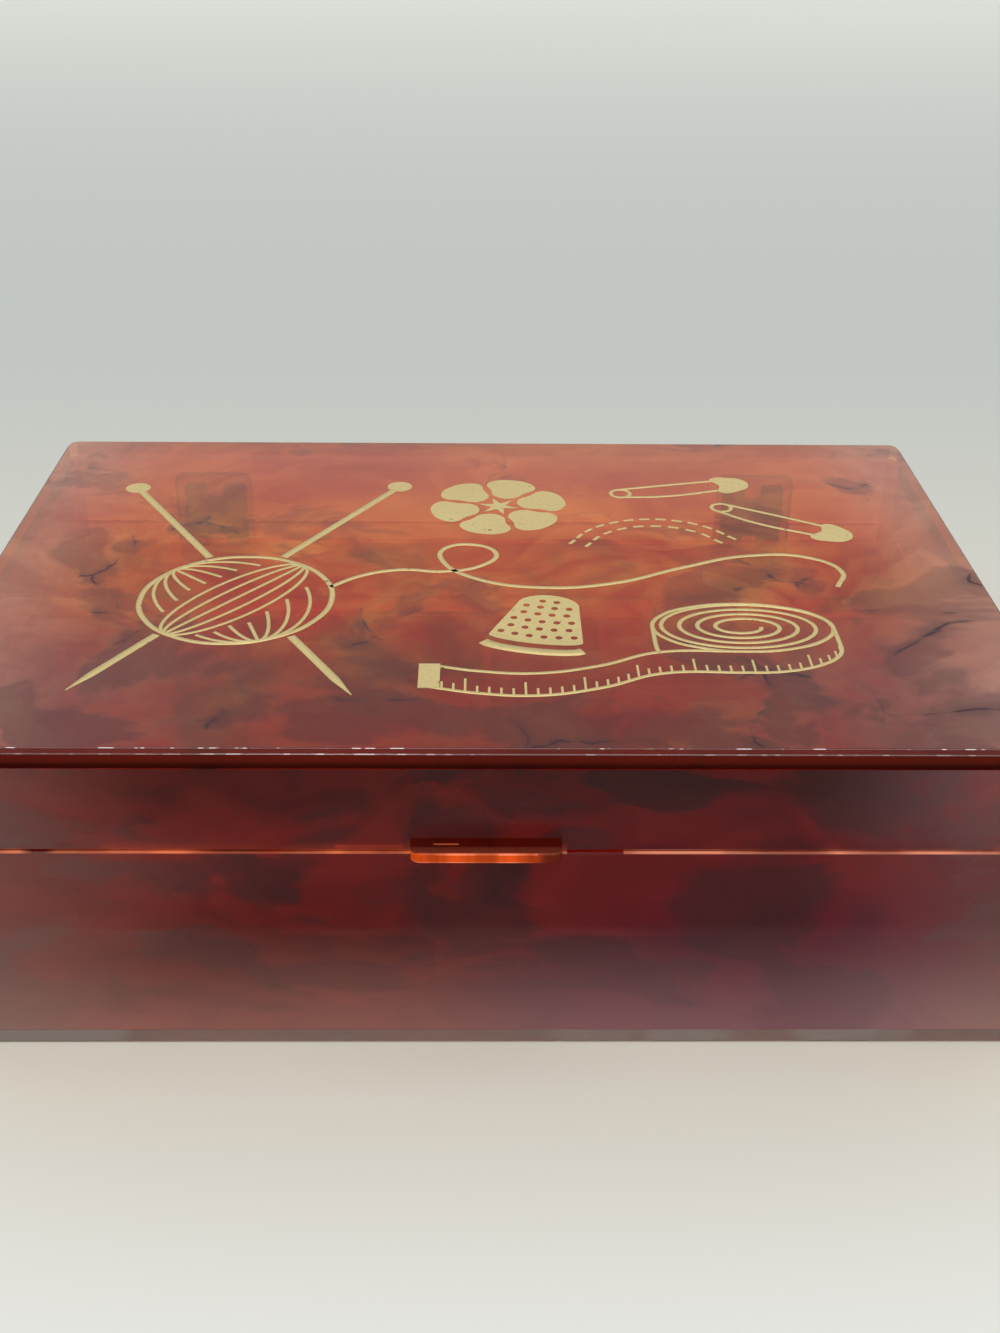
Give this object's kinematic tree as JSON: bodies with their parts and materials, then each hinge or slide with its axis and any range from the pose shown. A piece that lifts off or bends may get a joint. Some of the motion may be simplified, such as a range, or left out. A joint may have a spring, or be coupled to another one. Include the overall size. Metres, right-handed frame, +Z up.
{
  "type": "acrylic sewing box",
  "caption": "Low rectangular sewing box of mottled red-brown acrylic sheet with a hinged lid, a thumb tab and a lift-out divided tray.",
  "frame": {"origin": "middle of the underside", "axes": "+X to the right as seen from the front, +Y to the back where the hinges are, +Z up"},
  "size_m": [0.28, 0.2068, 0.089],
  "materials": {
    "tortoise_acrylic": "polished translucent acrylic sheet, red-orange with dark brown mottling",
    "tray_acrylic": "polished translucent acrylic sheet, thinner and a little lighter than the case",
    "tab_acrylic": "polished amber-red acrylic with bright edges",
    "hinge_acrylic": "moulded dark brown acrylic, glossy",
    "pin_steel": "drawn steel wire",
    "gold_foil": "pale gold foil print, satin"
  },
  "bodies": {
    "base": {"base_floor": "tortoise_acrylic", "base_front_wall": "tortoise_acrylic", "base_rear_wall": "tortoise_acrylic", "base_left_wall": "tortoise_acrylic", "base_right_wall": "tortoise_acrylic", "tray_ledge_left": "tortoise_acrylic", "tray_ledge_right": "tortoise_acrylic", "hinge_left_lower_leaf": "hinge_acrylic", "hinge_right_lower_leaf": "hinge_acrylic", "hinge_left_pin": "pin_steel", "hinge_right_pin": "pin_steel"},
    "lid": {"lid_top": "tortoise_acrylic", "lid_front_wall": "tortoise_acrylic", "lid_rear_wall": "tortoise_acrylic", "lid_left_wall": "tortoise_acrylic", "lid_right_wall": "tortoise_acrylic", "thumb_tab": "tab_acrylic", "hinge_left_upper_leaf": "hinge_acrylic", "hinge_right_upper_leaf": "hinge_acrylic"},
    "tray": {"tray_floor": "tray_acrylic", "tray_front_wall": "tray_acrylic", "tray_rear_wall": "tray_acrylic", "tray_left_wall": "tray_acrylic", "tray_right_wall": "tray_acrylic", "tray_cross_divider": "tray_acrylic", "tray_centre_divider": "tray_acrylic", "tray_cell_front": "tray_acrylic", "tray_cell_side": "tray_acrylic"}
  },
  "joints": [
    {"name": "lid_hinge", "type": "hinge", "parent": "base", "child": "lid", "pos_m": [0, 0.1004, 0.0602], "axis": [-1, 0, 0], "range_deg": [0, 104]},
    {"name": "tray_lift", "type": "slide", "parent": "base", "child": "tray", "axis": [0, 0, 1], "range_m": [0, 0.027]}
  ]
}
